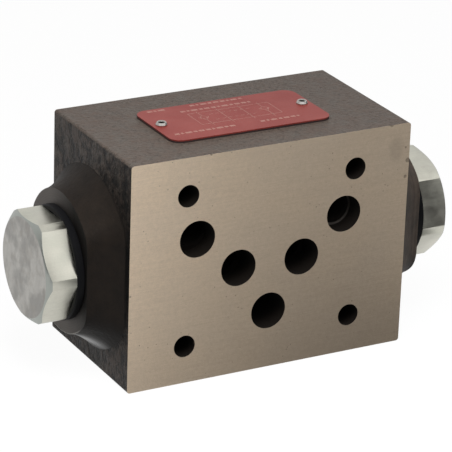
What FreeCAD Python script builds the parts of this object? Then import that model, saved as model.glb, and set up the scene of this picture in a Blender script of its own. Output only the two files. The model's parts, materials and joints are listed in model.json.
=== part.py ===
"""Stacking double pilot operated non-return valve, size 10 port pattern.

Frame: X along the main bore, Y into the depth from the valve-side port face, Z up from the bottom face.
The origin is the middle of the bottom of the block. Lengths are millimetres.
"""
import FreeCAD, Part
import math
import os
import re

import Sketcher
from FreeCAD import Placement, Rotation, Vector

# Driving sizes: name, value, meaning
DRIVING_SIZES = [
    ("block_length", 90.0, "iron block along the main bore"),
    ("block_depth", 50.0, "between the two ground port faces"),
    ("block_height", 69.0, "bottom to top"),
    ("cast_edge_radius", 0.9, "rounded casting edges between the ends and the top and bottom"),
    ("bolt_spacing_x", 54.0, "stack bolts, centre to centre"),
    ("bolt_spacing_z", 46.0, "stack bolts, centre to centre"),
    ("bolt_hole_diameter", 6.7, "through holes of the stack bolts"),
    ("port_diameter", 11.15, "every port mouth"),
    ("port_depth", 6.0, "straight part of the return ports and of the back service ports"),
    ("throat_diameter", 8.4, "drilling from a front service port into the main bore"),
    ("front_port_depth", 9.0, "straight part of the front service ports"),
    ("pressure_port_drop", 16.7, "pressure port below the middle of the face"),
    ("service_port_offset", 10.3, "service ports beside the middle of the face"),
    ("service_port_drop", 1.6, "service ports and main bore below the middle of the face"),
    ("return_port_offset", 23.8, "return ports beside the middle of the face"),
    ("return_port_rise", 9.5, "return ports above the middle of the face"),
    ("return_knee_offset", 18.0, "cored return passage beside the middle, at half depth"),
    ("return_knee_rise", 16.0, "cored return passage above the middle, at half depth"),
    ("return_core_diameter", 9.2, "cored return passage"),
    ("service_core_diameter", 7.0, "slanted passage from a back service port to its gallery"),
    ("service_core_start", 20.5, "start of the slanted passage behind the bore axis"),
    ("service_core_end", 10.9, "end of the slanted passage behind the bore axis"),
    ("service_core_reach", 32.0, "end of the slanted passage beside the middle"),
    ("recess_diameter", 16.2, "seal recess round each back port"),
    ("recess_depth", 1.35, "seal recess"),
    ("port_seal_inner", 12.42, "inside diameter of a port O-ring"),
    ("port_seal_section", 1.78, "section of a port O-ring"),
    ("boss_reach", 54.5, "machined boss faces beside the middle"),
    ("boss_rim_radius", 21.2, "boss rim, above and below the bore"),
    ("boss_rim_front", 17.5, "flat of the boss rim in front of the bore axis"),
    ("boss_rim_back", 19.0, "flat of the boss rim behind the bore axis"),
    ("boss_foot_radius", 27.3, "boss foot, above and below the bore"),
    ("boss_foot_half_width", 23.0, "boss foot, to the front and back"),
    ("boss_corner_radius", 9.0, "corner between the round and the flat of the boss"),
    ("boss_flare", 1.6, "power of the flare from rim to foot"),
    ("piston_bore_diameter", 13.0, "bore of the pilot piston"),
    ("piston_bore_half_length", 6.0, "half the length of that bore"),
    ("chamber_diameter", 18.0, "valve-side chambers"),
    ("seat_shoulder", 15.5, "shoulders that the seats rest on, beside the middle"),
    ("seat_pocket_diameter", 21.0, "pockets of the seats"),
    ("gallery_diameter", 25.0, "galleries behind the seats"),
    ("gallery_end", 37.0, "outer end of the galleries, start of the plug threads"),
    ("thread_diameter", 27.0, "plug thread"),
    ("thread_clearance", 0.04, "radial, between plug thread and tapped hole"),
    ("mouth_chamfer", 1.0, "chamfer at the mouth of the tapped holes"),
    ("thread_chamfer", 1.0, "chamfer on the inner end of the plug thread"),
    ("thread_end_gap", 1.0, "from the bottom of the tapped hole to the plug thread"),
    ("plug_seal_thickness", 2.5, "bonded sealing ring"),
    ("plug_seal_lip", 1.2, "width of its rubber lip"),
    ("plug_seal_ring", 1.8, "width of its steel ring"),
    ("plug_seal_groove", 0.35, "depth of the groove between lip and ring"),
    ("plug_seal_clearance", 0.3, "radial, between lip and plug"),
    ("plug_across_flats", 30.0, "hexagon of the plugs"),
    ("plug_corner_diameter", 33.2, "turned corners of the hexagon"),
    ("plug_head_length", 8.8, "hexagon head"),
    ("plug_face_diameter", 29.2, "flat end of the head inside its chamfer"),
    ("plug_chamfer_angle", 30.0, "chamfer of the head against its end face, degrees"),
    ("left_plug_angle", 88.8, "direction of a flat as tightened, degrees"),
    ("right_plug_angle", 43.0, "direction of a flat as tightened, degrees"),
    ("plug_relief_diameter", 24.6, "thread relief under the head"),
    ("plug_relief_length", 2.5, "thread relief under the head"),
    ("plug_sleeve_diameter", 20.8, "sleeve that clamps the seat"),
    ("plug_window_diameter", 6.0, "flow windows through the sleeve"),
    ("plug_window_gap", 1.5, "between the seat and the windows"),
    ("plug_window_count", 4, "windows round the sleeve"),
    ("seat_length", 8.5, "seat bush"),
    ("seat_bore_diameter", 10.0, "bore that the poppet closes"),
    ("seat_fit", 0.02, "radial, between seat and pocket"),
    ("seat_lead_in", 0.8, "chamfer on the inner end of the seat"),
    ("seat_groove_start", 3.0, "seal groove from the shoulder"),
    ("seat_groove_width", 2.2, "seal groove"),
    ("seat_seal_section", 1.5, "section of the seat O-ring"),
    ("seat_seal_fit", 0.03, "radial, between seat O-ring and pocket"),
    ("poppet_diameter", 15.0, "guided skirt of the poppet"),
    ("poppet_guide_fit", 0.03, "radial, between poppet and plug"),
    ("poppet_seat_gap", 0.04, "along the axis, between cone and seat edge when closed"),
    ("poppet_length", 13.0, "skirt and cone behind the seat"),
    ("poppet_lift", 3.5, "travel to the fully open stop"),
    ("poppet_pin_diameter", 5.0, "pin that the pilot piston pushes"),
    ("poppet_pin_length", 5.0, "pin in front of the seat edge"),
    ("pin_chamfer", 0.4, "chamfer of the pin"),
    ("poppet_wall", 2.1, "wall of the skirt round the spring"),
    ("poppet_floor", 5.0, "solid length behind the seat edge"),
    ("poppet_vent_diameter", 1.6, "cross holes that fill the spring space"),
    ("spring_wire", 1.3, "spring wire"),
    ("spring_diameter", 9.8, "outside of the spring"),
    ("spring_turns", 6.0, "turns of the spring"),
    ("spring_pocket_diameter", 11.0, "spring pocket in the plug"),
    ("spring_pocket_depth", 7.0, "spring pocket behind the poppet stop"),
    ("drill_point_angle", 118.0, "drill point at the bottom of the spring pocket, degrees"),
    ("pilot_gap", 1.5, "between a piston nose and the pin of a closed poppet"),
    ("piston_land_half_length", 6.0, "land of the pilot piston"),
    ("piston_fit", 0.03, "radial, between piston and bore"),
    ("piston_nose_diameter", 6.4, "noses of the pilot piston"),
    ("piston_shoulder_chamfer", 0.6, "chamfers of the land"),
    ("piston_groove_depth", 0.5, "balancing grooves"),
    ("piston_groove_width", 0.7, "balancing grooves"),
    ("piston_groove_pitch", 3.2, "balancing grooves, one from the next"),
    ("plate_length", 51.8, "name plate"),
    ("plate_width", 26.0, "name plate"),
    ("plate_thickness", 0.9, "name plate"),
    ("plate_corner_radius", 3.6, "name plate"),
    ("plate_centre_x", -0.5, "name plate from the middle of the top"),
    ("plate_centre_y", -1.2, "name plate from the middle of the top"),
    ("rivet_inset", 2.9, "rivets from the ends of the name plate"),
    ("rivet_row_y", -0.7, "rivets from the middle of the top"),
    ("rivet_shank_diameter", 2.4, "rivet shank"),
    ("rivet_shank_length", 5.0, "rivet below the plate"),
    ("rivet_fit", 0.03, "radial, between shank and hole"),
    ("rivet_head_diameter", 3.4, "rolled rivet head"),
    ("rivet_head_height", 1.0, "rolled rivet head"),
    ("rivet_eye_diameter", 1.7, "hollow of the rivet"),
    ("rivet_eye_depth", 2.6, "hollow of the rivet"),
]

# Worked-out sizes: name, formula in the names above
DERIVED_SIZES = [
    ("axis_height", "block_height / 2 - service_port_drop"),
    ("plug_seat", "boss_reach + plug_seal_thickness"),
    ("seat_edge", "seat_shoulder + seat_length"),
    ("pin_end", "seat_edge - poppet_pin_length"),
    ("skirt_end", "seat_edge + poppet_length"),
    ("poppet_stop", "skirt_end + poppet_lift"),
    ("spring_seat", "seat_edge + poppet_floor"),
    ("spring_floor", "poppet_stop + spring_pocket_depth"),
    ("seat_groove_diameter", "seat_pocket_diameter - 2 * seat_seal_section - 2 * seat_seal_fit"),
    ("rivet_spacing", "plate_length - 2 * rivet_inset"),
]

document = FreeCAD.newDocument("NonReturnValve")


def fill_sheet():
    """The spreadsheet that drives the model: one row per size, its alias in column B."""
    cells = document.addObject("Spreadsheet::Sheet", "Sizes")
    row = 0
    for alias, value, meaning in DRIVING_SIZES:
        row += 1
        cells.set(f"A{row}", meaning)
        cells.set(f"B{row}", str(value))
        cells.setAlias(f"B{row}", alias)
    for alias, formula in DERIVED_SIZES:
        row += 1
        cells.set(f"A{row}", "worked out")
        cells.set(f"B{row}", f"={formula}")
        cells.setAlias(f"B{row}", alias)
    document.recompute()
    return cells


sheet = fill_sheet()
SHEET_LINKS = {line[0]: f"Sizes.{line[0]}" for line in DRIVING_SIZES + DERIVED_SIZES}


def size(alias):
    """The number in the sheet under this alias."""
    return float(sheet.get(alias))


def bound(formula):
    """The formula with each sheet name written as a reference to the sheet."""
    return re.sub(r"[a-z]\w*", lambda word: SHEET_LINKS.get(word.group(), word.group()), formula)


def value_of(formula):
    """The number that a formula in sheet names works out to."""
    scratch = document.addObject("App::FeaturePython", "Scratch")
    result = scratch.evalExpression(bound(formula))
    document.removeObject(scratch.Name)
    return float(getattr(result, "Value", result))


def new_body(label):
    body = document.addObject("PartDesign::Body", label)
    body.Label = label
    return body


def origin_item(body, role):
    """One of the axes or planes of the body's own origin."""
    return next(item for item in body.Origin.OriginFeatures if item.Role == role)


def new_sketch(body, name, role, offset="0", lift="0"):
    """A sketch on one of the body's origin planes, moved by formulas along its normal and its own upright."""
    sketch = body.newObject("Sketcher::SketchObject", name)
    sketch.AttachmentSupport = (origin_item(body, role), [""])
    sketch.MapMode = "FlatFace"
    sketch.setExpression("AttachmentOffset.Base.z", bound(offset))
    sketch.setExpression("AttachmentOffset.Base.y", bound(lift))
    return sketch


def constrain(sketch, kind, arguments, name, formula, sign=1):
    """A named dimension of the sketch, bound to a formula in sheet names."""
    index = sketch.addConstraint(Sketcher.Constraint(kind, *arguments, sign * value_of(formula)))
    sketch.renameConstraint(index, name)
    sketch.setExpression(f"Constraints.{name}", bound(formula))


def draw_outline(sketch, points):
    """A closed outline of straight lines through points given as pairs of formulas.

    Lines whose ends share a formula are upright or level, and each chain of them carries one dimension.
    """
    spots = [Vector(value_of(across), value_of(up), 0) for across, up in points]
    count = len(points)
    first = len(sketch.Geometry)
    for index in range(count):
        sketch.addGeometry(Part.LineSegment(spots[index], spots[(index + 1) % count]), False)
    for index in range(count):
        sketch.addConstraint(
            Sketcher.Constraint("Coincident", first + index, 2, first + (index + 1) % count, 1)
        )
    for axis, kind, straight in ((0, "DistanceX", "Vertical"), (1, "DistanceY", "Horizontal")):
        chained = [points[index][axis] == points[(index + 1) % count][axis] for index in range(count)]
        for index in range(count):
            if chained[index]:
                sketch.addConstraint(Sketcher.Constraint(straight, first + index))
            if chained[index - 1]:
                continue
            formula = points[index][axis]
            if formula == "0":
                sketch.addConstraint(
                    Sketcher.Constraint("PointOnObject", first + index, 1, -2 if axis == 0 else -1)
                )
            elif value_of(formula) < 0:
                constrain(sketch, kind, (first + index, 1, -1, 1), f"{kind}{index}", f"-1 * ({formula})")
            else:
                constrain(sketch, kind, (-1, 1, first + index, 1), f"{kind}{index}", formula)


def draw_circle(sketch, across, up, diameter):
    """A circle whose centre and diameter are formulas."""
    number = len(sketch.Geometry)
    centre = Vector(value_of(across), value_of(up), 0)
    sketch.addGeometry(Part.Circle(centre, Vector(0, 0, 1), value_of(diameter) / 2), False)
    constrain(sketch, "Diameter", (number,), f"Bore{number}", diameter)
    for kind, formula, rod in (("DistanceX", across, -2), ("DistanceY", up, -1)):
        if formula == "0":
            sketch.addConstraint(Sketcher.Constraint("PointOnObject", number, 3, rod))
        elif value_of(formula) < 0:
            constrain(sketch, kind, (number, 3, -1, 1), f"{kind}{number}", f"-1 * ({formula})")
        else:
            constrain(sketch, kind, (-1, 1, number, 3), f"{kind}{number}", formula)


def turn(body, name, points, kind="PartDesign::Revolution", lift="0"):
    """A turned form about X, or with kind Groove a turned hole: half outline as (along, radius) formulas."""
    on_axis = "XY_Plane" if lift == "0" else "XZ_Plane"
    sketch = new_sketch(body, name + "Profile", on_axis, "0", lift)
    draw_outline(sketch, points)
    feature = body.newObject(kind, name)
    feature.Profile = sketch
    feature.ReferenceAxis = (sketch, ["H_Axis"])
    feature.Angle = 360
    document.recompute()
    return feature


def cut(body, name, sketch, depth=None, backwards=False):
    """A pocket to a depth formula, or right through, that has to take material away."""
    before = body.Shape.Volume
    pocket = body.newObject("PartDesign::Pocket", name)
    pocket.Profile = sketch
    pocket.Reversed = backwards
    if depth is None:
        pocket.Type = "ThroughAll"
        pocket.Midplane = True
    else:
        pocket.Type = "Length"
        pocket.setExpression("Length", bound(depth))
    document.recompute()
    if not pocket.Shape.Volume < before:
        raise RuntimeError(f"{name} cuts nothing")
    return pocket


def drill_pair(body, name, face, spot, diameter, depth):
    """Two blind holes from a port face, one on each side of the middle. The front face is the positive one."""
    across, up = spot
    mouths = new_sketch(body, f"{name}Circles", "XZ_Plane", face)
    draw_circle(mouths, f"-1 * {across}", up, diameter)
    draw_circle(mouths, across, up, diameter)
    return cut(body, name, mouths, depth, backwards=value_of(face) < 0)


def core_passage(body, name, start, end, diameter):
    """A slanted passage between two points given as formulas."""
    first = Vector(*(value_of(formula) for formula in start))
    last = Vector(*(value_of(formula) for formula in end))
    passage = body.newObject("PartDesign::SubtractiveCylinder", name)
    passage.AttachmentSupport = (origin_item(body, "XY_Plane"), [""])
    passage.MapMode = "FlatFace"
    run = last - first
    passage.AttachmentOffset = Placement(first, Rotation(Vector(0, 0, 1), run))
    for axis, formula in zip("xyz", start):
        passage.setExpression(f"AttachmentOffset.Base.{axis}", bound(formula))
    passage.setExpression("Radius", bound(f"({diameter}) / 2"))
    passage.Height = run.Length
    document.recompute()
    return passage


def knee(body, name, centre, diameter):
    """The rounded corner where two passages meet."""
    ball = body.newObject("PartDesign::SubtractiveSphere", name)
    ball.AttachmentSupport = (origin_item(body, "XY_Plane"), [""])
    ball.MapMode = "FlatFace"
    for axis, formula in zip("xyz", centre):
        ball.setExpression(f"AttachmentOffset.Base.{axis}", bound(formula))
    ball.setExpression("Radius", bound(f"({diameter}) / 2"))
    document.recompute()
    return ball


def oval_section(body, name, share):
    """One section of a boss: a circle about the bore, trimmed front and back by flats with round corners.

    share runs from 0 at the foot to 1 at the rim. The size falls from foot to rim as a power of 1 - share.
    """
    fall = f"(1 - {share}) ^ boss_flare"
    radius = f"boss_rim_radius + (boss_foot_radius - boss_rim_radius) * {fall}"
    front = f"boss_rim_front + (boss_foot_half_width - boss_rim_front) * {fall}"
    back = f"boss_rim_back + (boss_foot_half_width - boss_rim_back) * {fall}"
    offset = f"block_length / 2 + (boss_reach - block_length / 2) * {share}"
    sketch = new_sketch(body, name, "YZ_Plane", offset, "axis_height")
    outer, corner = value_of(radius), size("boss_corner_radius")
    normal = Vector(0, 0, 1)

    def corner_centre(half):
        inset = half - corner
        return Vector(inset, math.sqrt((outer - corner) ** 2 - inset**2))

    def arc(centre, reach, begin, finish):
        return Part.ArcOfCircle(Part.Circle(centre, normal, reach), begin, finish)

    behind, ahead = corner_centre(value_of(back)), corner_centre(value_of(front))
    corners = [behind, Vector(-ahead.x, ahead.y), Vector(-ahead.x, -ahead.y), Vector(behind.x, -behind.y)]
    lean, lean_ahead = math.atan2(behind.y, behind.x), math.pi - math.atan2(ahead.y, ahead.x)
    turns = (0, lean, lean_ahead, math.pi, 2 * math.pi - lean_ahead, 2 * math.pi - lean, 2 * math.pi)
    sketch.addGeometry(
        [
            arc(corners[0], corner, turns[0], turns[1]),
            arc(Vector(), outer, turns[1], turns[2]),
            arc(corners[1], corner, turns[2], turns[3]),
            Part.LineSegment(corners[1] - Vector(corner), corners[2] - Vector(corner)),
            arc(corners[2], corner, turns[3], turns[4]),
            arc(Vector(), outer, turns[4], turns[5]),
            arc(corners[3], corner, turns[5], turns[6]),
            Part.LineSegment(corners[3] + Vector(corner), corners[0] + Vector(corner)),
        ],
        False,
    )
    joints = ((0, 2, 1, 1), (1, 2, 2, 1), (2, 2, 3, 1), (3, 2, 4, 1), (4, 2, 5, 1), (5, 2, 6, 1), (6, 2, 7, 1))
    for one, end, other, start in joints + ((7, 2, 0, 1),):
        sketch.addConstraint(Sketcher.Constraint("Tangent", one, end, other, start))
    sketch.addConstraint(Sketcher.Constraint("Coincident", 1, 3, -1, 1))
    sketch.addConstraint(Sketcher.Constraint("Coincident", 5, 3, -1, 1))
    constrain(sketch, "Radius", (1,), "TopRadius", radius)
    constrain(sketch, "Radius", (5,), "BottomRadius", radius)
    for number, arc_number in enumerate((0, 2, 4, 6)):
        constrain(sketch, "Radius", (arc_number,), f"Corner{number}", "boss_corner_radius")
    constrain(sketch, "DistanceX", (-1, 1, 7, 1), "Back", back)
    constrain(sketch, "DistanceX", (3, 1, -1, 1), "Front", front)
    return sketch


def make_valve_body():
    """The iron block: ground port faces front and back, a flared boss at each end, bores and passages."""
    body = new_body("valve_body")
    outline = new_sketch(body, "BlockOutline", "XY_Plane")
    half_length, half_depth = "block_length / 2", "block_depth / 2"
    draw_outline(
        outline,
        [
            (f"-1 * {half_length}", f"-1 * {half_depth}"),
            (half_length, f"-1 * {half_depth}"),
            (half_length, half_depth),
            (f"-1 * {half_length}", half_depth),
        ],
    )
    block = body.newObject("PartDesign::Pad", "Block")
    block.Profile = outline
    block.setExpression("Length", bound("block_height"))
    document.recompute()

    edges = []
    for number, edge in enumerate(block.Shape.Edges, start=1):
        middle = edge.CenterOfMass
        if abs(middle.y) < 1e-6 and abs(abs(middle.x) - size("block_length") / 2) < 1e-6:
            edges.append(f"Edge{number}")
    rounds = body.newObject("PartDesign::Fillet", "CastEdges")
    rounds.Base = (block, edges)
    rounds.setExpression("Radius", bound("cast_edge_radius"))
    document.recompute()

    sections = [oval_section(body, f"BossSection{part}", f"{part} / 4") for part in range(5)]
    boss = body.newObject("PartDesign::AdditiveLoft", "Boss")
    boss.Profile = sections[0]
    boss.Sections = sections[1:]
    boss.Ruled = False
    document.recompute()

    bore = turn(
        body,
        "MainBore",
        [
            ("0", "0"),
            ("0", "piston_bore_diameter / 2"),
            ("piston_bore_half_length", "piston_bore_diameter / 2"),
            ("piston_bore_half_length", "chamber_diameter / 2"),
            ("seat_shoulder", "chamber_diameter / 2"),
            ("seat_shoulder", "seat_pocket_diameter / 2"),
            ("seat_edge", "seat_pocket_diameter / 2"),
            ("seat_edge", "gallery_diameter / 2"),
            ("gallery_end", "gallery_diameter / 2"),
            ("gallery_end", "thread_diameter / 2"),
            ("boss_reach - mouth_chamfer", "thread_diameter / 2"),
            ("boss_reach", "thread_diameter / 2 + mouth_chamfer"),
            ("boss_reach", "0"),
        ],
        kind="PartDesign::Groove",
        lift="axis_height",
    )
    left_half = body.newObject("PartDesign::Mirrored", "LeftHalf")
    left_half.Originals = [boss, bore]
    left_half.MirrorPlane = (origin_item(body, "YZ_Plane"), [""])
    body.Tip = left_half
    document.recompute()

    front, back = "block_depth / 2", "-1 * block_depth / 2"
    return_height = "block_height / 2 + return_port_rise"
    knee_height = "block_height / 2 + return_knee_rise"
    service = ("service_port_offset", "axis_height")
    returns = ("return_port_offset", return_height)
    for name, face, spot, diameter, depth in (
        ("FrontServicePorts", front, service, "port_diameter", "front_port_depth"),
        ("ServiceThroats", front, service, "throat_diameter", front),
        ("FrontReturnPorts", front, returns, "port_diameter", "port_depth"),
        ("BackServicePorts", back, service, "port_diameter", "port_depth"),
        ("BackReturnPorts", back, returns, "port_diameter", "port_depth"),
        ("ServiceRecesses", back, service, "recess_diameter", "recess_depth"),
        ("ReturnRecesses", back, returns, "recess_diameter", "recess_depth"),
    ):
        drill_pair(body, name, face, spot, diameter, depth)
    for side, sign in (("Left", "-1"), ("Right", "1")):
        core_passage(
            body,
            f"{side}ServiceCore",
            (f"{sign} * service_port_offset", "service_core_start", "axis_height"),
            (f"{sign} * service_core_reach", "service_core_end", "axis_height"),
            "service_core_diameter",
        )
        corner = (f"{sign} * return_knee_offset", "0", knee_height)
        for end, way in (("Front", "-1"), ("Back", "1")):
            start = (f"{sign} * return_port_offset", f"{way} * (block_depth - port_depth) / 2", return_height)
            core_passage(body, f"{side}{end}ReturnCore", start, corner, "return_core_diameter")
        knee(body, f"{side}ReturnKnee", corner, "return_core_diameter")

    pressure_height = "block_height / 2 - pressure_port_drop"
    pressure = new_sketch(body, "PressurePort", "XZ_Plane", front)
    draw_circle(pressure, "0", pressure_height, "port_diameter")
    cut(body, "PressurePortBore", pressure, "block_depth")
    pressure_recess = new_sketch(body, "PressureRecess", "XZ_Plane", back)
    draw_circle(pressure_recess, "0", pressure_height, "recess_diameter")
    cut(body, "PressureRecessCut", pressure_recess, "recess_depth", backwards=True)

    bolts = new_sketch(body, "BoltCentres", "XZ_Plane", front)
    for across in ("-1 * bolt_spacing_x / 2", "bolt_spacing_x / 2"):
        for up in ("block_height / 2 - bolt_spacing_z / 2", "block_height / 2 + bolt_spacing_z / 2"):
            draw_circle(bolts, across, up, "bolt_hole_diameter")
    document.recompute()
    holes = body.newObject("PartDesign::Hole", "BoltHoles")
    holes.Profile = bolts
    holes.ThreadType = 0
    holes.DepthType = 1
    holes.setExpression("Diameter", bound("bolt_hole_diameter"))
    document.recompute()

    rivets = new_sketch(body, "RivetCentres", "XY_Plane", "block_height")
    for half in ("-1 * rivet_spacing / 2", "rivet_spacing / 2"):
        draw_circle(rivets, f"plate_centre_x + ({half})", "rivet_row_y", "rivet_shank_diameter + 2 * rivet_fit")
    cut(body, "RivetHoles", rivets, "rivet_shank_length")
    return body


def make_plug(label):
    """A screw plug: hexagon head with turned corners, threaded shank, sleeve that clamps the seat.

    Its blind bore guides the poppet, stops it when open and holds the spring.
    """
    body = new_body(label)
    head_end = "plug_seat + plug_head_length"
    chamfer = "(plug_corner_diameter - plug_face_diameter) / 2 * tan(plug_chamfer_angle)"
    tip = "spring_floor + spring_pocket_diameter / 2 / tan(drill_point_angle / 2)"
    thread_end = "gallery_end + thread_end_gap"
    thread = "thread_diameter / 2 - thread_clearance"
    turn(
        body,
        "Turned",
        [
            ("seat_edge", "poppet_diameter / 2"),
            ("seat_edge", "plug_sleeve_diameter / 2"),
            (thread_end, "plug_sleeve_diameter / 2"),
            (thread_end, f"{thread} - thread_chamfer"),
            (f"{thread_end} + thread_chamfer", thread),
            ("plug_seat - plug_relief_length", thread),
            ("plug_seat - plug_relief_length", "plug_relief_diameter / 2"),
            ("plug_seat", "plug_relief_diameter / 2"),
            ("plug_seat", "plug_corner_diameter / 2"),
            (f"{head_end} - {chamfer}", "plug_corner_diameter / 2"),
            (head_end, "plug_face_diameter / 2"),
            (head_end, "0"),
            (tip, "0"),
            ("spring_floor", "spring_pocket_diameter / 2"),
            ("poppet_stop", "spring_pocket_diameter / 2"),
            ("poppet_stop", "poppet_diameter / 2"),
        ],
    )
    ring = new_sketch(body, "HexagonTrim", "YZ_Plane", head_end)
    draw_circle(ring, "0", "0", "plug_corner_diameter * 1.2")
    draw_hexagon(ring, "plug_across_flats")
    cut(body, "Hexagon", ring, "plug_head_length")

    window = new_sketch(body, "Window", "XY_Plane")
    draw_circle(
        window,
        "seat_edge + plug_window_gap + plug_window_diameter / 2",
        "0",
        "plug_window_diameter",
    )
    first = cut(body, "FlowWindow", window, "plug_sleeve_diameter")
    pattern = body.newObject("PartDesign::PolarPattern", "FlowWindows")
    pattern.Originals = [first]
    pattern.Axis = (origin_item(body, "X_Axis"), [""])
    pattern.Angle = 360
    pattern.setExpression("Occurrences", bound("plug_window_count"))
    body.Tip = pattern
    document.recompute()
    return body


def draw_hexagon(sketch, across_flats):
    """A regular hexagon about the sketch's origin, a corner on its first axis."""
    first = len(sketch.Geometry)
    reach = value_of(across_flats) / math.sqrt(3)
    corners = [
        Vector(reach * math.cos(math.radians(60 * step)), reach * math.sin(math.radians(60 * step)), 0)
        for step in range(6)
    ]
    for step in range(6):
        sketch.addGeometry(Part.LineSegment(corners[step], corners[(step + 1) % 6]), False)
    guide = sketch.addGeometry(Part.Circle(Vector(), Vector(0, 0, 1), reach), True)
    sketch.addConstraint(Sketcher.Constraint("Coincident", guide, 3, -1, 1))
    for step in range(6):
        following = first + (step + 1) % 6
        sketch.addConstraint(Sketcher.Constraint("Coincident", first + step, 2, following, 1))
        sketch.addConstraint(Sketcher.Constraint("PointOnObject", first + step, 1, guide))
        if step:
            sketch.addConstraint(Sketcher.Constraint("Equal", first, first + step))
    sketch.addConstraint(Sketcher.Constraint("PointOnObject", first, 1, -1))
    constrain(sketch, "Radius", (guide,), "CornerReach", f"{across_flats} / sqrt(3)")


def make_plug_seal(label):
    """The bonded sealing ring: a steel ring, a groove on each side, then the rubber lip."""
    body = new_body(label)
    lip = "thread_diameter / 2 + plug_seal_clearance"
    groove = f"{lip} + plug_seal_lip"
    outer = f"{groove} + plug_seal_ring"
    turn(
        body,
        "Ring",
        [
            ("boss_reach", lip),
            ("boss_reach", f"{groove} - plug_seal_groove"),
            ("boss_reach + plug_seal_groove", groove),
            ("boss_reach", f"{groove} + plug_seal_groove"),
            ("boss_reach", f"{outer} - plug_seal_groove"),
            ("boss_reach + plug_seal_groove", outer),
            ("plug_seat - plug_seal_groove", outer),
            ("plug_seat", f"{outer} - plug_seal_groove"),
            ("plug_seat", f"{groove} + plug_seal_groove"),
            ("plug_seat - plug_seal_groove", groove),
            ("plug_seat", f"{groove} - plug_seal_groove"),
            ("plug_seat", lip),
        ],
    )
    return body


def make_seat(label):
    """The seat bush: outside groove for its seal, sharp seat edge at the outer end."""
    body = new_body(label)
    outer = "seat_pocket_diameter / 2 - seat_fit"
    start = "seat_shoulder + seat_groove_start"
    turn(
        body,
        "Bush",
        [
            ("seat_shoulder", "seat_bore_diameter / 2 + seat_lead_in"),
            ("seat_shoulder", f"{outer} - seat_lead_in"),
            ("seat_shoulder + seat_lead_in", outer),
            (start, outer),
            (start, "seat_groove_diameter / 2"),
            (f"{start} + seat_groove_width", "seat_groove_diameter / 2"),
            (f"{start} + seat_groove_width", outer),
            ("seat_edge", outer),
            ("seat_edge", "seat_bore_diameter / 2"),
            ("seat_shoulder + seat_lead_in", "seat_bore_diameter / 2"),
        ],
    )
    return body


def make_poppet(label):
    """The cone poppet: pin, 45 degree cone on the seat edge, guided skirt, spring bore and vent holes."""
    body = new_body(label)
    contact = "seat_edge + poppet_seat_gap"
    pin = "poppet_pin_diameter / 2"
    skirt = "poppet_diameter / 2 - poppet_guide_fit"
    bore = "poppet_diameter / 2 - poppet_wall"
    turn(
        body,
        "Turned",
        [
            ("pin_end", "0"),
            ("pin_end", f"{pin} - pin_chamfer"),
            ("pin_end + pin_chamfer", pin),
            (f"{contact} - (seat_bore_diameter / 2 - {pin})", pin),
            (f"{contact} + {skirt} - seat_bore_diameter / 2", skirt),
            ("skirt_end", skirt),
            ("skirt_end", bore),
            ("spring_seat", bore),
            ("spring_seat", "0"),
        ],
    )
    hole = new_sketch(body, "Vent", "XY_Plane")
    draw_circle(hole, "spring_seat + poppet_vent_diameter", "0", "poppet_vent_diameter")
    cut(body, "VentHoles", hole)
    return body


def make_spring(label):
    """The closing spring: a round wire wound between the poppet and the plug, its ends ground flat."""
    body = new_body(label)
    wire = new_sketch(body, "Wire", "XY_Plane")
    draw_circle(
        wire,
        "spring_seat + spring_wire / 4",
        "spring_diameter / 2 - spring_wire / 2",
        "spring_wire",
    )
    coil = body.newObject("PartDesign::AdditiveHelix", "Coil")
    coil.Profile = wire
    coil.ReferenceAxis = (wire, ["H_Axis"])
    coil.Mode = "height-turns-angle"
    coil.setExpression("Height", bound("spring_floor - spring_seat - spring_wire / 2"))
    coil.setExpression("Turns", bound("spring_turns"))
    document.recompute()
    for name, end, backwards in (("InnerEnd", "spring_seat", False), ("OuterEnd", "spring_floor", True)):
        grind = new_sketch(body, name, "YZ_Plane", end)
        draw_circle(grind, "0", "0", "spring_diameter + 2 * spring_wire")
        cut(body, f"{name}Ground", grind, "2 * spring_wire", backwards)
    return body


def make_piston():
    """The pilot piston: a land with balancing grooves and a pushing nose each way."""
    body = new_body("pilot_piston")
    nose = "piston_nose_diameter / 2"
    land = "piston_bore_diameter / 2 - piston_fit"
    end = "pin_end - pilot_gap"
    edge = "piston_land_half_length"
    floor = f"{land} - piston_groove_depth"
    points = [
        (f"-1 * ({end})", "0"),
        (f"-1 * ({end})", f"{nose} - piston_shoulder_chamfer"),
        (f"-1 * ({end} - piston_shoulder_chamfer)", nose),
        (f"-1 * {edge}", nose),
        (f"-1 * {edge}", f"{land} - piston_shoulder_chamfer"),
        (f"-1 * ({edge} - piston_shoulder_chamfer)", land),
    ]
    for step in (-1, 0, 1):
        for side in (-1, 1):
            wall = f"{step} * piston_groove_pitch + {side} * piston_groove_width / 2"
            points += [(wall, land), (wall, floor)][::-side]
    points += [
        (f"{edge} - piston_shoulder_chamfer", land),
        (edge, f"{land} - piston_shoulder_chamfer"),
        (edge, nose),
        (f"{end} - piston_shoulder_chamfer", nose),
        (end, f"{nose} - piston_shoulder_chamfer"),
        (end, "0"),
    ]
    turn(body, "Turned", points)
    return body


def make_ring(label, inner, section):
    """An O-ring about X from its inside diameter and section."""
    ring = document.addObject("Part::Torus", label)
    ring.Label = label
    ring.setExpression("Radius1", bound(f"({inner} + {section}) / 2"))
    ring.setExpression("Radius2", bound(f"{section} / 2"))
    return ring


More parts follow.
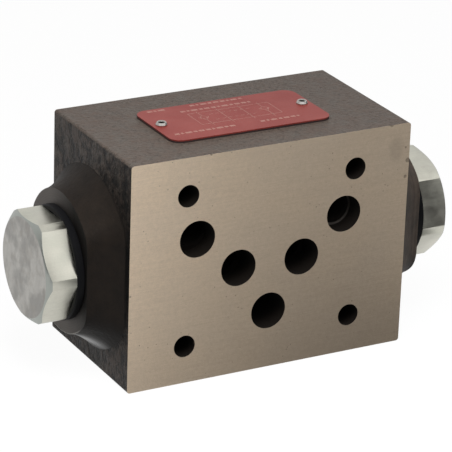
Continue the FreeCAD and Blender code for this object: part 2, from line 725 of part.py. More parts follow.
def make_name_plate():
    """The plate: rounded corners and two rivet holes."""
    body = new_body("name_plate")
    outline = new_sketch(body, "Outline", "XY_Plane")
    left, right = ("plate_centre_x - plate_length / 2", "plate_centre_x + plate_length / 2")
    near, far = ("plate_centre_y - plate_width / 2", "plate_centre_y + plate_width / 2")
    draw_outline(outline, [(left, near), (right, near), (right, far), (left, far)])
    sheet_metal = body.newObject("PartDesign::Pad", "Sheet")
    sheet_metal.Profile = outline
    sheet_metal.setExpression("Length", bound("plate_thickness"))
    document.recompute()
    uprights = [
        f"Edge{number}"
        for number, edge in enumerate(sheet_metal.Shape.Edges, start=1)
        if abs(edge.BoundBox.ZLength - size("plate_thickness")) < 1e-6
    ]
    corners = body.newObject("PartDesign::Fillet", "Corners")
    corners.Base = (sheet_metal, uprights)
    corners.setExpression("Radius", bound("plate_corner_radius"))
    document.recompute()
    holes = new_sketch(body, "RivetHoles", "XY_Plane")
    for half in ("-1 * rivet_spacing / 2", "rivet_spacing / 2"):
        draw_circle(holes, f"plate_centre_x + ({half})", "rivet_row_y", "rivet_shank_diameter + 2 * rivet_fit")
    cut(body, "RivetHoleCuts", holes)
    return body


def make_rivet(name):
    """A hollow drive rivet about X, its head from 0 outwards and its shank inwards."""
    body = new_body(name)
    head, eye = "rivet_head_diameter / 2", "rivet_eye_diameter / 2"
    shank = "rivet_shank_diameter / 2"
    top = "rivet_head_height"
    deep = "-1 * (plate_thickness + rivet_shank_length)"
    turn(
        body,
        "Rivet",
        [
            (deep, "0"),
            (deep, f"{shank} / 2"),
            (f"{deep} + {shank} / 2", shank),
            ("0", shank),
            ("0", head),
            (f"{top} / 3", head),
            (f"{top} * 0.85", f"(2 * {head} + {eye}) / 3"),
            (top, f"({head} + {eye}) / 2"),
            (f"{top} * 0.85", f"{eye} * 1.15"),
            (f"{top} / 2", eye),
            ("rivet_head_height - rivet_eye_depth", eye),
            ("rivet_head_height - rivet_eye_depth", "0"),
        ],
    )
    return body


def place(item, turn_angle=0.0, mirrored=False, spot=("0", "0", "axis_height"), rotation=None):
    """Moves a turned piece from its own axis into the valve, turned about X, and end for end on the left."""
    end_for_end = Rotation(Vector(0, 0, 1), 180 if mirrored else 0)
    about_x = Rotation(Vector(1, 0, 0), turn_angle)
    item.Placement = Placement(Vector(), rotation or end_for_end.multiply(about_x))
    for axis, formula in zip("xyz", spot):
        item.setExpression(f"Placement.Base.{axis}", bound(formula))
    return item


def build_parts():
    """Every sub-part in its place, in the order in which the valve is put together."""
    parts = [make_valve_body(), place(make_piston())]
    along_x = Rotation(Vector(0, 1, 0), 90)
    along_y = Rotation(Vector(1, 0, 0), -90)
    seal_mean = "seat_shoulder + seat_groove_start + seat_groove_width / 2"
    for side, mirrored, sign in (("left", True, "-1"), ("right", False, "1")):
        # The left plug's flat is seen from the other side, so its turn counts the other way
        flat = 180 - size("left_plug_angle") if mirrored else size("right_plug_angle")
        parts += [
            place(make_seat(f"{side}_seat"), mirrored=mirrored),
            place(make_poppet(f"{side}_poppet"), mirrored=mirrored),
            place(make_spring(f"{side}_spring"), mirrored=mirrored),
            place(make_plug(f"{side}_plug"), turn_angle=flat - 30, mirrored=mirrored),
            place(make_plug_seal(f"{side}_plug_seal"), mirrored=mirrored),
        ]
        seal = make_ring(f"{side}_seat_seal", "seat_groove_diameter", "seat_seal_section")
        parts.append(place(seal, spot=(f"{sign} * ({seal_mean})", "0", "axis_height"), rotation=along_x))

    pressure_height = "block_height / 2 - pressure_port_drop"
    return_height = "block_height / 2 + return_port_rise"
    ports = {
        "p": ("0", pressure_height),
        "a": ("-1 * service_port_offset", "axis_height"),
        "b": ("service_port_offset", "axis_height"),
        "t": ("-1 * return_port_offset", return_height),
        "t1": ("return_port_offset", return_height),
    }
    seal_depth = "block_depth / 2 - recess_depth + port_seal_section / 2"
    for port, (across, up) in ports.items():
        seal = make_ring(f"port_seal_{port}", "port_seal_inner", "port_seal_section")
        parts.append(place(seal, spot=(across, seal_depth, up), rotation=along_y))

    parts.append(place(make_name_plate(), spot=("0", "0", "block_height")))
    upright = Rotation(Vector(0, 1, 0), -90)
    rivets = []
    for side, sign in (("Left", "-1"), ("Right", "1")):
        spot = (
            f"plate_centre_x + {sign} * rivet_spacing / 2",
            "rivet_row_y",
            "block_height + plate_thickness",
        )
        rivets.append(place(make_rivet(f"{side}Rivet"), spot=spot, rotation=upright))
    pair = document.addObject("Part::Compound", "plate_rivets")
    pair.Label = "plate_rivets"
    pair.Links = rivets
    parts.append(pair)
    return parts


def check_and_write(parts):
    """Every object is computed, every sub-part is one valid closed solid, or two rivets; then the files."""
    document.recompute()
    for item in document.Objects:
        if "Invalid" in item.State or "Error" in item.State:
            raise RuntimeError(f"{item.Label} failed: {item.State}")
    for part in parts:
        shape = part.Shape
        expected = len(part.Links) if part.TypeId == "Part::Compound" else 1
        if shape.isNull() or not shape.isValid() or len(shape.Solids) != expected:
            raise RuntimeError(f"{part.Label} has no sound solid")
    os.makedirs("parts", exist_ok=True)
    for part in parts:
        part.Shape.exportStep(f"parts/{part.Label}.step")
        print(part.Label, round(part.Shape.Volume, 1))


check_and_write(build_parts())
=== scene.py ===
"""Stacking double pilot operated non-return valve: finishes, name plate print, light and camera.

Lengths are written in millimetres and multiplied by MM where Blender takes them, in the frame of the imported
model: X along the main bore, Y from the valve-side port face into the depth, Z up from the bottom face.
"""

import json
import math

import bmesh
import bpy
import numpy as np
from mathutils import Matrix, Vector


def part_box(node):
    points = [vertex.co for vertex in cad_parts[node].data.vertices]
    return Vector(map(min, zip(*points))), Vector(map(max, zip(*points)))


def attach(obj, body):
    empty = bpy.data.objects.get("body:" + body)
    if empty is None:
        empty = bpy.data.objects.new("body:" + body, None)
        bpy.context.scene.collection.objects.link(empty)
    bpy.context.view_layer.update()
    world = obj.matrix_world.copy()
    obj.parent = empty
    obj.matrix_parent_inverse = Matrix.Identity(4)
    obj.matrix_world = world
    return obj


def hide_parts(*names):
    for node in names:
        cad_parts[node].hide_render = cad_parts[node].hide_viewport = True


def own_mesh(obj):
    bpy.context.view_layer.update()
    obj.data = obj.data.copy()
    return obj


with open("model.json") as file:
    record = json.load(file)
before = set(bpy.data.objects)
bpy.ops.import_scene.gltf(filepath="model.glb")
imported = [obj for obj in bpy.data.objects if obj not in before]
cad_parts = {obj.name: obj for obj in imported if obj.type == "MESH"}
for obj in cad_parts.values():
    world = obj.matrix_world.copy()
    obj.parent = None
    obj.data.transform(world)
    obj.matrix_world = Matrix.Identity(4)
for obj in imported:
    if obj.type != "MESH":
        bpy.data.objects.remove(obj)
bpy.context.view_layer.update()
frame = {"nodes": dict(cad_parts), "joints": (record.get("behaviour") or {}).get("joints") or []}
MM = 0.001


def corners(node):
    """The node's lowest and highest corners at rest, in millimetres."""
    low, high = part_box(node)
    return low / MM, high / MM


def middle(node):
    """The middle of the node's box, in millimetres."""
    low, high = corners(node)
    return (low + high) / 2


def travel(joint_name):
    """The farthest place of the joint from rest, in metres."""
    return next(joint["range_m"][1] for joint in frame["joints"] if joint["name"] == joint_name)


# Sizes and places read from the frame
BOSS_REACH, HALF_DEPTH, HEIGHT = corners("valve_body")[1]
AXIS_HEIGHT = middle("pilot_piston").z
PLUG_END = corners("right_plug")[1].x
PLATE_LOW, PLATE_HIGH = corners("name_plate")
PLATE_TOP = PLATE_HIGH.z
RETURN_PORT = middle("port_seal_t1")
RIVET_MIDDLE = middle("name_plate").x
RIVET_ROW = middle("plate_rivets").y

# Sizes of the solids that no box gives
HALF_LENGTH = 45.0
CAST_ROUND = 0.9
BOSS_RIM_RADIUS = 21.2
BOSS_RIM_BACK = 19.0
PORT_DEPTH = 6.0
PLUG_FACE_RADIUS = 14.6
PLUG_CHAMFER_SLOPE = math.tan(math.radians(30))
SEAL_LIP_RADIUS = 15.1
RIVET_INSET = 2.9
RIVET_REACH = (PLATE_HIGH.x - PLATE_LOW.x) / 2 - RIVET_INSET
RIVET_EYE = 0.9

# Dressing of the plugs
PLUG_EDGE_ROUND = 0.22
DOUBLES_WITHIN = 0.001
FLAT_WITHIN = math.radians(0.3)
SHARP_ABOVE = math.radians(24)

# Nicks in the ground faces: X, Z and reach
FACE_NICKS = (
    (44.6, 57.4, 0.75),
    (44.0, 52.4, 0.5),
    (43.6, 61.5, 0.3),
    (38.5, 69.0, 0.6),
    (-44.6, 30.0, 0.3),
    (-20.3, 68.9, 0.35),
)

# Painted light on the ground faces, brighter to the upper left: the change of tone for each millimetre along
# X and up, and the share of its saddle
PAINTED_LIGHT_RIGHTWARD = -0.0047
PAINTED_LIGHT_UPWARD = 0.0061
PAINTED_LIGHT_SADDLE = 0.000098

# Smudge on the ground faces
SMUDGE_X = 40.5
SMUDGE_Z = 61.5
SMUDGE_REACH = 2.9

# Oval of oil and painted shade on each end wall, darkest between the boss and the front edge, and the height
# below which the wall is paler
OIL_AND_SHADE_Y = -21.0
OIL_AND_SHADE_Z = 38.0
OIL_AND_SHADE_HALF_DEPTH = 21.0
OIL_AND_SHADE_HALF_HEIGHT = 27.0
PALER_WALL_TOP = 14.0

# Painted shade on the boss faces, from its full depth in front to its end
FACE_SHADE_FRONT = -14.0
FACE_SHADE_BACK = 1.0

# Low patches behind one place along Y: the oil film on the boss flanks, and the painted highlight along the
# edge of the faces
PATCH_FRONT = -12.0
OIL_FILM_TOP = 12.5
EDGE_HIGHLIGHT_TOP = 24.0

# Painted highlight on the ledge in the right return port
LEDGE_INNER_RADIUS = 4.9
LEDGE_OUTER_RADIUS = 6.0

# Print on the plate: thickness, how deep it sits in the face, and the widths of its lines and bars
PRINT_THICKNESS = 0.02
PRINT_SUNK = 0.005
LINE_WIDTH = 0.22
BAR_WIDTH = 1.1

# Rows of bars: first X, Y and reach along X
BAR_ROWS = (
    (-22.5, 10.2, 7.0),
    (-8.8, 10.2, 18.5),
    (-13.6, 6.6, 24.0),
    (-23.6, -9.2, 20.0),
    (4.0, -9.2, 14.0),
)
BAR_LENGTHS = (1.5, 0.8, 2.1, 1.1, 1.7)
BAR_GAP = 0.55

# The valve symbol: its frame, the X of its through lines and check valves, and their parts along Y
SYMBOL_LEFT = -12.6
SYMBOL_RIGHT = 13.6
SYMBOL_LOW = -5.0
SYMBOL_HIGH = 4.2
THROUGH_LINES = (-3.0, 4.0)
CHECK_VALVES = (-9.4, 10.4)
LINE_PAST_LOW = 1.6
LINE_PAST_HIGH = 0.8
BREAK_LOW = -1.7
BREAK_HIGH = 1.2
SEAT_POINT = -1.9
SEAT_HIGH = 0.4
SEAT_HALF_WIDTH = 1.7
BALL_MIDDLE = 0.2
BALL_RADIUS = 1.0
PILOT_LINES = (1.8, -2.6)
PILOT_START = -6.8
PILOT_PITCH = 2.0
PILOT_DASH = 1.2
PILOT_COUNT = 7

# Camera of the photograph: a long lens from the left front, looking down
CAMERA_PLACE = (-372.6, -671.24, 349.08)
CAMERA_FORWARD = (0.44821, 0.8096, -0.37901)
CAMERA_RIGHT = (0.88077, -0.47243, 0.03242)
CAMERA_LENS = 225.5
CAMERA_SENSOR = 36.0

# Lamps: name, place, aim, width, height and power in watts
LAMPS = (
    ("overhead", (-60, -200, 520), (0, 0, 35), 320, 320, 3.3),
    ("near", (-90, -130, 230), (-30, -25, 50), 160, 120, 0.42),
)

# Floor: its place, and the zones that mirrors show bright at the far right and dark in front, a painted
# bright patch and a painted shadow
FLOOR_REACH = 4000.0
FLOOR_UNDER = -0.02
FAR_RIGHT_X = 75.0
FAR_RIGHT_Y = -70.0
DARK_FROM_X = -5.0
DARK_TO_Y = -10.0

# Floor levels as the camera, mirrors and the light see them
FLOOR_GLOW = 0.965
FLOOR_MIRRORED = 0.8
FLOOR_SHADE = 0.92
FLOOR_MATT = (0.12, 0.12, 0.12)
FLOOR_WHITE = (0.95, 0.95, 0.95)

# Parts of the room that mirrors tell apart, as directions: behind, above, and a band high in front
BEHIND_Y = 0.28
ABOVE_Z = 0.42
BAND_LOW_Z = 0.39
BAND_HIGH_Z = 0.70
BAND_BACK_Y = 0.1

# Room levels: what lights the object, and the dark, pale and bright parts that mirrors show
ROOM_FILL = 0.08
ROOM_DARK = 0.025
ROOM_PALE = 0.78
ROOM_BRIGHT = 1.5

# Colours of the body
GROUND_WARM = (0.47, 0.38, 0.285)
GROUND_GREY = (0.44, 0.36, 0.275)
SKIN_BROWN = (0.062, 0.046, 0.037)
SKIN_GREY = (0.054, 0.045, 0.038)
FLANK_DARK = (0.007, 0.0052, 0.004)
FLANK_BROWN = (0.011, 0.008, 0.006)
FLANK_DRY = (0.080, 0.062, 0.050)
TURNED_GREY = (0.13, 0.118, 0.11)
TURNED_WARM = (0.15, 0.136, 0.124)
RIM_HIGHLIGHT = (0.62, 0.60, 0.57)
# Painted shade in hollows: the passage walls and the eyes of the rivets
HOLLOW_SHADE = (0.006, 0.0048, 0.004)
LEDGE_HIGHLIGHT = (0.085, 0.076, 0.068)

# Colours of the plugs, seals and inner pieces
ZINC_PALE = (0.71, 0.69, 0.60)
ZINC_GREEN = (0.60, 0.60, 0.52)
ZINC_FACE = (0.56, 0.545, 0.51)
ZINC_FACE_DARK = (0.36, 0.35, 0.33)
ZINC_TARNISH = (0.38, 0.35, 0.31)
ZINC_CHAMFER = (0.40, 0.42, 0.39)
RING_BLACK = (0.004, 0.004, 0.0045)
RUBBER_BLACK = (0.005, 0.005, 0.005)
RUBBER_BLOOM = (0.03, 0.03, 0.032)
STEEL_GREY = (0.52, 0.51, 0.50)
STEEL_BLUE = (0.36, 0.37, 0.39)
WIRE_GREY = (0.30, 0.29, 0.28)

# Colours of the name plate and its rivets
PLATE_RED = (0.172, 0.023, 0.018)
PLATE_FADED = (0.195, 0.035, 0.028)
PLATE_EDGE_SHADE = (0.03, 0.02, 0.02)
PRINT_PALE = (0.28, 0.145, 0.12)
PRINT_WORN = (0.26, 0.095, 0.08)
RIVET_BRIGHT = (0.62, 0.60, 0.57)
RIVET_DULL = (0.38, 0.36, 0.34)


class Signal:
    """A shader socket that arithmetic works on. Each expression adds its Math nodes."""

    def __init__(self, shader, socket):
        self.shader = shader
        self.socket = socket

    def math(self, operation, *others):
        sockets = dict(enumerate((self, *others)))
        return self.shader.node("ShaderNodeMath", {"operation": operation}, sockets)

    def __add__(self, other):
        return self.math("ADD", other)

    def __sub__(self, other):
        return self.math("SUBTRACT", other)

    def __mul__(self, other):
        return self.math("MULTIPLY", other)

    def __truediv__(self, other):
        return self.math("DIVIDE", other)

    def __pow__(self, other):
        return self.math("POWER", other)

    def __rsub__(self, other):
        return self.shader.node("ShaderNodeMath", {"operation": "SUBTRACT"}, {0: other, 1: self})

    __radd__ = __add__
    __rmul__ = __mul__

    def size(self):
        """The number without its sign."""
        return self.math("ABSOLUTE")

    def smallest(self, other):
        return self.math("MINIMUM", other)

    def largest(self, other):
        return self.math("MAXIMUM", other)

    def above(self, level, blur=0.02):
        """0 below the level and 1 above it, changing over the width blur."""
        settings = {"interpolation_type": "SMOOTHSTEP"}
        ends = {"Value": self, "From Min": level - blur / 2, "From Max": level + blur / 2}
        return self.shader.node("ShaderNodeMapRange", settings, ends)

    def below(self, level, blur=0.02):
        """1 below the level and 0 above it."""
        return 1 - self.above(level, blur)

    def spread(self, low, high, first=0.0, last=1.0):
        """The signal's stretch from low to high laid onto first to last, with no more beyond the ends."""
        ends = {"Value": self, "From Min": low, "From Max": high, "To Min": first, "To Max": last}
        return self.shader.node("ShaderNodeMapRange", {}, ends)


class Shader:
    """One material, or the world, put together from nodes."""

    def __init__(self, holder):
        self.holder = holder
        self.holder.use_nodes = True
        self.tree = self.holder.node_tree
        self.tree.nodes.clear()
        self.point = None

    @property
    def place(self):
        """The surface point in millimetres. Its nodes are made when a pattern first asks for it."""
        if self.point is None:
            metres = self.node("ShaderNodeTexCoord", {}, {}, "Object")
            scale = {0: metres, "Scale": 1 / MM}
            self.point = self.node("ShaderNodeVectorMath", {"operation": "SCALE"}, scale)
        return self.point

    def node(self, kind, settings, sockets, out=0):
        """Adds a node: its type, its settings, then its socket values or links. Gives one output."""
        made = self.tree.nodes.new(kind)
        for key, value in settings.items():
            setattr(made, key, value)
        for key, value in sockets.items():
            if isinstance(value, Signal):
                self.tree.links.new(value.socket, made.inputs[key])
            else:
                made.inputs[key].default_value = value
        return Signal(self, made.outputs[out]) if made.outputs else None

    def axis(self, name):
        """One coordinate of the surface point, in millimetres."""
        return self.node("ShaderNodeSeparateXYZ", {}, {0: self.place}, name)

    def axes(self, names="XYZ"):
        """Several coordinates of the surface point."""
        return [self.axis(name) for name in names]

    def joined(self, first, second=0.0, third=0.0):
        """A vector of three values."""
        return self.node("ShaderNodeCombineXYZ", {}, {0: first, 1: second, 2: third})

    def multiplied(self, vector, factors):
        """A vector with each of its values multiplied, so that a pattern runs finer or longer that way."""
        return self.node("ShaderNodeVectorMath", {"operation": "MULTIPLY"}, {0: vector, 1: factors})

    def stretched(self, along, across, up):
        """The surface point with X, Y and Z multiplied."""
        return self.multiplied(self.place, (along, across, up))

    def noise(self, scale, detail=2.0, roughness=0.5, place=None):
        """Soft random values about 0.5, with features of about 1 mm divided by scale."""
        sockets = {"Vector": place or self.place, "Scale": scale, "Detail": detail, "Roughness": roughness}
        return self.node("ShaderNodeTexNoise", {}, sockets, "Fac")

    def spots(self, scale, feature="F1", place=None):
        """The distance to the nearest of scattered points."""
        sockets = {"Vector": place or self.place, "Scale": scale}
        return self.node("ShaderNodeTexVoronoi", {"feature": feature}, sockets, "Distance")

    def wavy(self, scale, reach):
        """The surface point pushed about by soft noise, up to about reach millimetres."""
        push = self.node("ShaderNodeTexNoise", {}, {"Vector": self.place, "Scale": scale}, "Color")
        push = self.node("ShaderNodeVectorMath", {"operation": "SCALE"}, {0: push, "Scale": 2 * reach})
        return self.node("ShaderNodeVectorMath", {"operation": "ADD"}, {0: self.place, 1: push})

    def mix(self, share, first, second):
        """From the first colour to the second as share goes from 0 to 1."""
        sockets = {0: share}
        for key, colour in ((6, first), (7, second)):
            sockets[key] = colour if isinstance(colour, Signal) else (*colour, 1)
        return self.node("ShaderNodeMix", {"data_type": "RGBA"}, sockets, 2)

    def shade(self, colour, factor):
        """The colour made lighter or darker by a factor signal."""
        grey = self.node("ShaderNodeCombineColor", {}, {0: factor, 1: factor, 2: factor})
        settings = {"data_type": "RGBA", "blend_type": "MULTIPLY"}
        return self.node("ShaderNodeMix", settings, {0: 1.0, 6: colour, 7: grey}, 2)

    def bump(self, height, strength, distance, under=None):
        """A Bump node on a height in millimetres times distance."""
        sockets = {"Height": height, "Strength": strength, "Distance": distance * MM}
        if under:
            sockets["Normal"] = under
        return self.node("ShaderNodeBump", {}, sockets)

    def ray(self, kind):
        """1 for a ray of that kind: Camera, Glossy or Transmission."""
        return self.node("ShaderNodeLightPath", {}, {}, f"Is {kind} Ray")

    def finish(self, sockets):
        """The Principled shader with these sockets, and the output."""
        return self.output(self.node("ShaderNodeBsdfPrincipled", {}, sockets))

    def output(self, surface, kind="ShaderNodeOutputMaterial"):
        """The surface goes to the output of the material or world."""
        self.node(kind, {}, {"Surface": surface})
        return self.holder


def new_shader(name):
    """The shader of a new material."""
    return Shader(bpy.data.materials.new(name))


def zone(*masks):
    """1 where every mask is 1."""
    result = masks[0]
    for mask in masks[1:]:
        result = result * mask
    return result


def distance(first, second):
    """The distance of a point that lies first along one direction and second across it."""
    return (first * first + second * second) ** 0.5


def bore_radius(y, z):
    """The distance from the bore axis."""
    return distance(y, z - AXIS_HEIGHT)


def ground_faces(s, x, z, cloud, grain):
    """Warm grey ground iron: mottled, with grinding lines along X, fine pits and nicks at the edges.

    The tone falls from the upper left to the lower right as in the photograph, as painted light: a slope
    along X and Z and a slight saddle. Gives the colour, the height of the relief and the roughness.
    """
    up = z - AXIS_HEIGHT
    fine = s.noise(3.2, 2.0, 0.6)
    lines = s.noise(1.0, 3.0, 0.6, s.stretched(0.10, 1.0, 2.6))
    broad_lines = s.noise(1.0, 2.0, 0.5, s.stretched(0.02, 1.0, 0.9))
    blotch = s.noise(0.95, 4.0, 0.68)
    pits = s.spots(0.42).below(0.075, 0.07) * s.noise(0.11, 1.0).above(0.47, 0.14)
    nicks = 0
    for nick_x, nick_z, reach in FACE_NICKS:
        away = distance(x - nick_x, z - nick_z) + 0.5 * grain - 0.25
        nicks = away.below(reach, 0.3) + nicks
    marks = (pits + nicks).smallest(1.0)
    from_smudge = distance(x - SMUDGE_X, 0.6 * (z - SMUDGE_Z)) + 1.5 * grain
    smudge = from_smudge.below(SMUDGE_REACH, 2.0)

    tone = 0.50 + 0.14 * cloud + 0.26 * lines + 0.08 * broad_lines + 0.30 * blotch + 0.32 * fine
    # Painted light: the tone falls from the upper left to the lower right
    tone = tone * (1.07 + PAINTED_LIGHT_RIGHTWARD * x + PAINTED_LIGHT_UPWARD * up + PAINTED_LIGHT_SADDLE * (x * x - up * up))
    colour = s.shade(s.mix(cloud.spread(0.35, 0.65), GROUND_WARM, GROUND_GREY), tone)
    colour = s.mix(marks * 0.5 + smudge * 0.14, colour, SKIN_BROWN)
    relief = 0.5 * lines + 1.6 * fine + 1.6 * blotch - 3.0 * marks
    return colour, relief, 0.44 + 0.10 * lines + 0.06 * cloud


def cast_skin(s, y, z, grain, mottle, end_wall):
    """Dark brown grey cast skin, leathery on top, with upright grain on the ends, and oil and painted shade
    round the bosses.

    Gives the colour, the height of the relief and the share of oil and painted shade on the end walls.
    """
    leather = s.spots(0.75, "SMOOTH_F1", s.wavy(0.5, 0.9))
    specks = s.noise(1.5, 2.0, 0.6).above(0.60, 0.10)
    top_tone = (0.42 + 0.60 * mottle + 0.50 * grain + 0.30 * leather) * (1 - 0.45 * specks)

    upright = s.noise(0.5, 4.0, 0.66, s.stretched(1.0, 1.0, 0.75))
    # Painted shade, partly oil: the end wall darkens in an oval between the boss and the front edge
    from_oil_and_shade = distance((y - OIL_AND_SHADE_Y) / OIL_AND_SHADE_HALF_DEPTH, (z - OIL_AND_SHADE_Z) / OIL_AND_SHADE_HALF_HEIGHT)
    oil_and_shade = from_oil_and_shade.spread(0.2, 1.3, 1.0, 0.0)
    end_tone = 0.02 + upright.spread(0.44, 0.62) + 0.45 * mottle.spread(0.42, 0.66)
    end_tone = end_tone * (1.16 + 0.3 * z.below(PALER_WALL_TOP, 16.0) - 1.09 * oil_and_shade)

    tone = top_tone * (1 - end_wall) + end_tone * end_wall
    colour = s.shade(s.mix(mottle.spread(0.35, 0.65), SKIN_BROWN, SKIN_GREY), tone)
    relief = (0.7 * grain + 0.5 * leather) * (1 - end_wall) + 2.2 * upright * end_wall
    return colour, relief, oil_and_shade


def boss_flanks(s, x, grain, mottle):
    """The flares of the bosses: smooth, oily on the left and dry on the right, with turning marks.

    Gives the colour and the turning marks.
    """
    turned = s.noise(1.0, 2.0, 0.6, s.stretched(1.5, 0.03, 0.03))
    patches = mottle.spread(0.35, 0.65)
    oily = s.shade(s.mix(patches, FLANK_DARK, FLANK_BROWN), 0.7 + 0.35 * grain + 0.25 * turned)
    dry = s.shade(s.mix(patches, FLANK_DRY, SKIN_GREY), 0.35 + 1.1 * turned + 0.2 * grain)
    return s.mix(x.above(0.0), oily, dry), turned


def boss_faces(s, y, z, cloud, boss_face):
    """The turned faces round the plugs: rings, painted shade towards the front, a painted highlight along the
    edge low on the rim.

    Gives the colour, the rings and where the edge highlight is painted.
    """
    radius = bore_radius(y, z)
    rings = s.noise(1.0, 2.0, 0.5, s.joined(radius * 3.0))
    # Painted shade: the turned face darkens towards the front
    slanted_depth = y - 0.3 * (z - AXIS_HEIGHT)
    face_shade = slanted_depth.spread(FACE_SHADE_FRONT, FACE_SHADE_BACK, 0.14, 1.05)
    colour = s.shade(s.mix(cloud, TURNED_GREY, TURNED_WARM), (0.75 + 0.5 * rings) * face_shade)
    past_rim = (radius - BOSS_RIM_RADIUS).largest(y - BOSS_RIM_BACK)
    at_edge = past_rim.above(-0.34, 0.15)
    # Painted highlight along the rim edge, low down and behind the front
    edge_highlight = zone(boss_face, at_edge, z.below(EDGE_HIGHLIGHT_TOP, 8.0), y.above(PATCH_FRONT, 6.0))
    return s.mix(edge_highlight * 0.8, colour, RIM_HIGHLIGHT), rings, edge_highlight


def passages(s, x, y, z):
    """Port and bore walls painted dark as shade, with a painted highlight on the ledge at the end of the
    right return port.
    """
    depth = HALF_DEPTH - y.size()
    from_port = distance(x - RETURN_PORT.x, z - RETURN_PORT.z)
    # Painted highlight on the ledge at the depth where the port steps in
    ledge_highlight = zone(
        depth.above(PORT_DEPTH - 0.08, 0.04),
        depth.below(PORT_DEPTH + 0.06, 0.04),
        from_port.above(LEDGE_INNER_RADIUS, 0.4),
        from_port.below(LEDGE_OUTER_RADIUS),
    )
    return s.mix(ledge_highlight, HOLLOW_SHADE, LEDGE_HIGHLIGHT)


def iron_body():
    """The body, told apart by place: ground port faces, cast skin, turned boss faces, passages painted dark
    as shade.
    """
    s = new_shader("iron body")
    x, y, z = s.axes()
    port_face = y.size().above(HALF_DEPTH - 0.03)
    end_wall = x.size().above(HALF_LENGTH - 0.05)
    boss = x.size().above(HALF_LENGTH + 0.2, 0.4)
    boss_face = x.size().above(BOSS_REACH - 0.04)
    inside = zone(
        y.size().below(HALF_DEPTH - 0.03),
        x.size().below(HALF_LENGTH - CAST_ROUND - 0.1),
        z.above(CAST_ROUND + 0.1),
        z.below(HEIGHT - CAST_ROUND - 0.1),
    )

    cloud = s.noise(0.05, 3.0, 0.55)
    grain = s.noise(0.9, 4.0, 0.62)
    mottle = s.noise(0.22, 4.0, 0.6)
    ground, ground_relief, ground_roughness = ground_faces(s, x, z, cloud, grain)
    skin, skin_relief, oil_and_shade = cast_skin(s, y, z, grain, mottle, end_wall)
    flank, turned = boss_flanks(s, x, grain, mottle)
    face, rings, edge_highlight = boss_faces(s, y, z, cloud, boss_face)
    oil_film = zone(boss, 1 - boss_face, z.below(OIL_FILM_TOP, 6.0), y.above(PATCH_FRONT, 9.0))

    colour = s.mix(boss, skin, flank)
    colour = s.mix(boss_face, colour, face)
    colour = s.mix(port_face, colour, ground)
    # Passages painted dark as shade
    colour = s.mix(inside, colour, passages(s, x, y, z))

    cast = (1 - port_face) * (1 - boss_face) * (1 - inside)
    cast_bump = s.bump(skin_relief * (1 - 0.75 * boss) * cast, 1.0, 0.45)
    relief = ground_relief * port_face + rings * boss_face + turned * 0.6 * boss
    normal = s.bump(relief, 0.6, 0.05, cast_bump)

    roughness = 0.44 + 0.12 * boss + 0.08 * grain + 0.3 * end_wall * (1 - boss) * oil_and_shade
    roughness = roughness * (1 - port_face) + ground_roughness * port_face
    roughness = roughness * (1 - 0.45 * oil_film)
    roughness = roughness * (1 - inside) + 0.9 * inside
    metal = port_face * 0.55 + boss_face * 0.6 * (1 - edge_highlight)
    return s.finish(
        {
            "Base Color": colour,
            "Roughness": roughness,
            "Metallic": metal.smallest(1.0),
            "Specular IOR Level": 0.18,
            "Coat Weight": oil_film,
            "Coat Roughness": 0.28,
            "Normal": normal,
        }
    )


def zinc_plug():
    """Zinc plated steel: cloudy end face with slanted streaks, flats with faint milling, darker chamfer."""
    s = new_shader("zinc plug")
    x, y, z = s.axes()
    radius = bore_radius(y, z)
    end_face = x.size().above(PLUG_END - 0.03)
    cone = x.size() + PLUG_CHAMFER_SLOPE * (radius - PLUG_FACE_RADIUS)
    chamfer = cone.above(PLUG_END - 0.1, 0.1) * (1 - end_face)
    cloud = s.noise(0.16, 4.0, 0.6)
    milling = s.noise(1.0, 2.0, 0.5, s.stretched(0.12, 2.2, 2.2))
    specks = s.noise(2.4, 2.0, 0.6)
    blot = s.noise(0.32, 4.0, 0.65).spread(0.3, 0.7)
    colour = s.mix(cloud.spread(0.3, 0.7), ZINC_PALE, ZINC_GREEN)
    colour = s.shade(colour, 0.74 + 0.14 * milling + 0.12 * specks + 0.24 * blot)

    slanted = s.joined(x, y + 0.28 * z, z - 0.28 * y)
    streaks = s.noise(1.0, 4.0, 0.6, s.multiplied(slanted, (1.0, 0.75, 0.16)))
    swirl = s.noise(0.13, 3.0, 0.55, slanted)
    rings = s.noise(1.0, 2.0, 0.5, s.joined(radius * 2.0))
    tarnish = s.noise(0.4, 3.0, 0.6).above(0.56, 0.16)
    face_cloud = 0.25 * streaks.spread(0.36, 0.66) + 0.75 * swirl.spread(0.43, 0.58) + 0.2 * rings
    face = s.mix(face_cloud, ZINC_FACE, ZINC_FACE_DARK)
    face = s.mix(tarnish * 0.3, face, ZINC_TARNISH)
    face = s.shade(face, 0.88 + 0.16 * specks)

    colour = s.mix(end_face, colour, face)
    colour = s.mix(chamfer, colour, ZINC_CHAMFER)
    roughness = 0.21 + 0.10 * cloud + 0.10 * end_face + 0.08 * milling + 0.08 * blot
    normal = s.bump(streaks * end_face + milling * (1 - end_face) * 0.6 + specks * 0.3, 0.35, 0.03)
    return s.finish({"Base Color": colour, "Roughness": roughness, "Metallic": 1.0, "Normal": normal})


def black_ring():
    """Black phosphated steel ring with a rubber lip."""
    s = new_shader("black ring")
    y, z = s.axes("YZ")
    lip = bore_radius(y, z).below(SEAL_LIP_RADIUS)
    grain = s.noise(2.0, 3.0)
    return s.finish(
        {
            "Base Color": s.shade(s.mix(lip, RING_BLACK, RUBBER_BLACK), 0.7 + 0.6 * grain),
            "Roughness": 0.4 + 0.2 * grain,
            "Specular IOR Level": 0.1,
            "Normal": s.bump(grain, 0.3, 0.03),
        }
    )


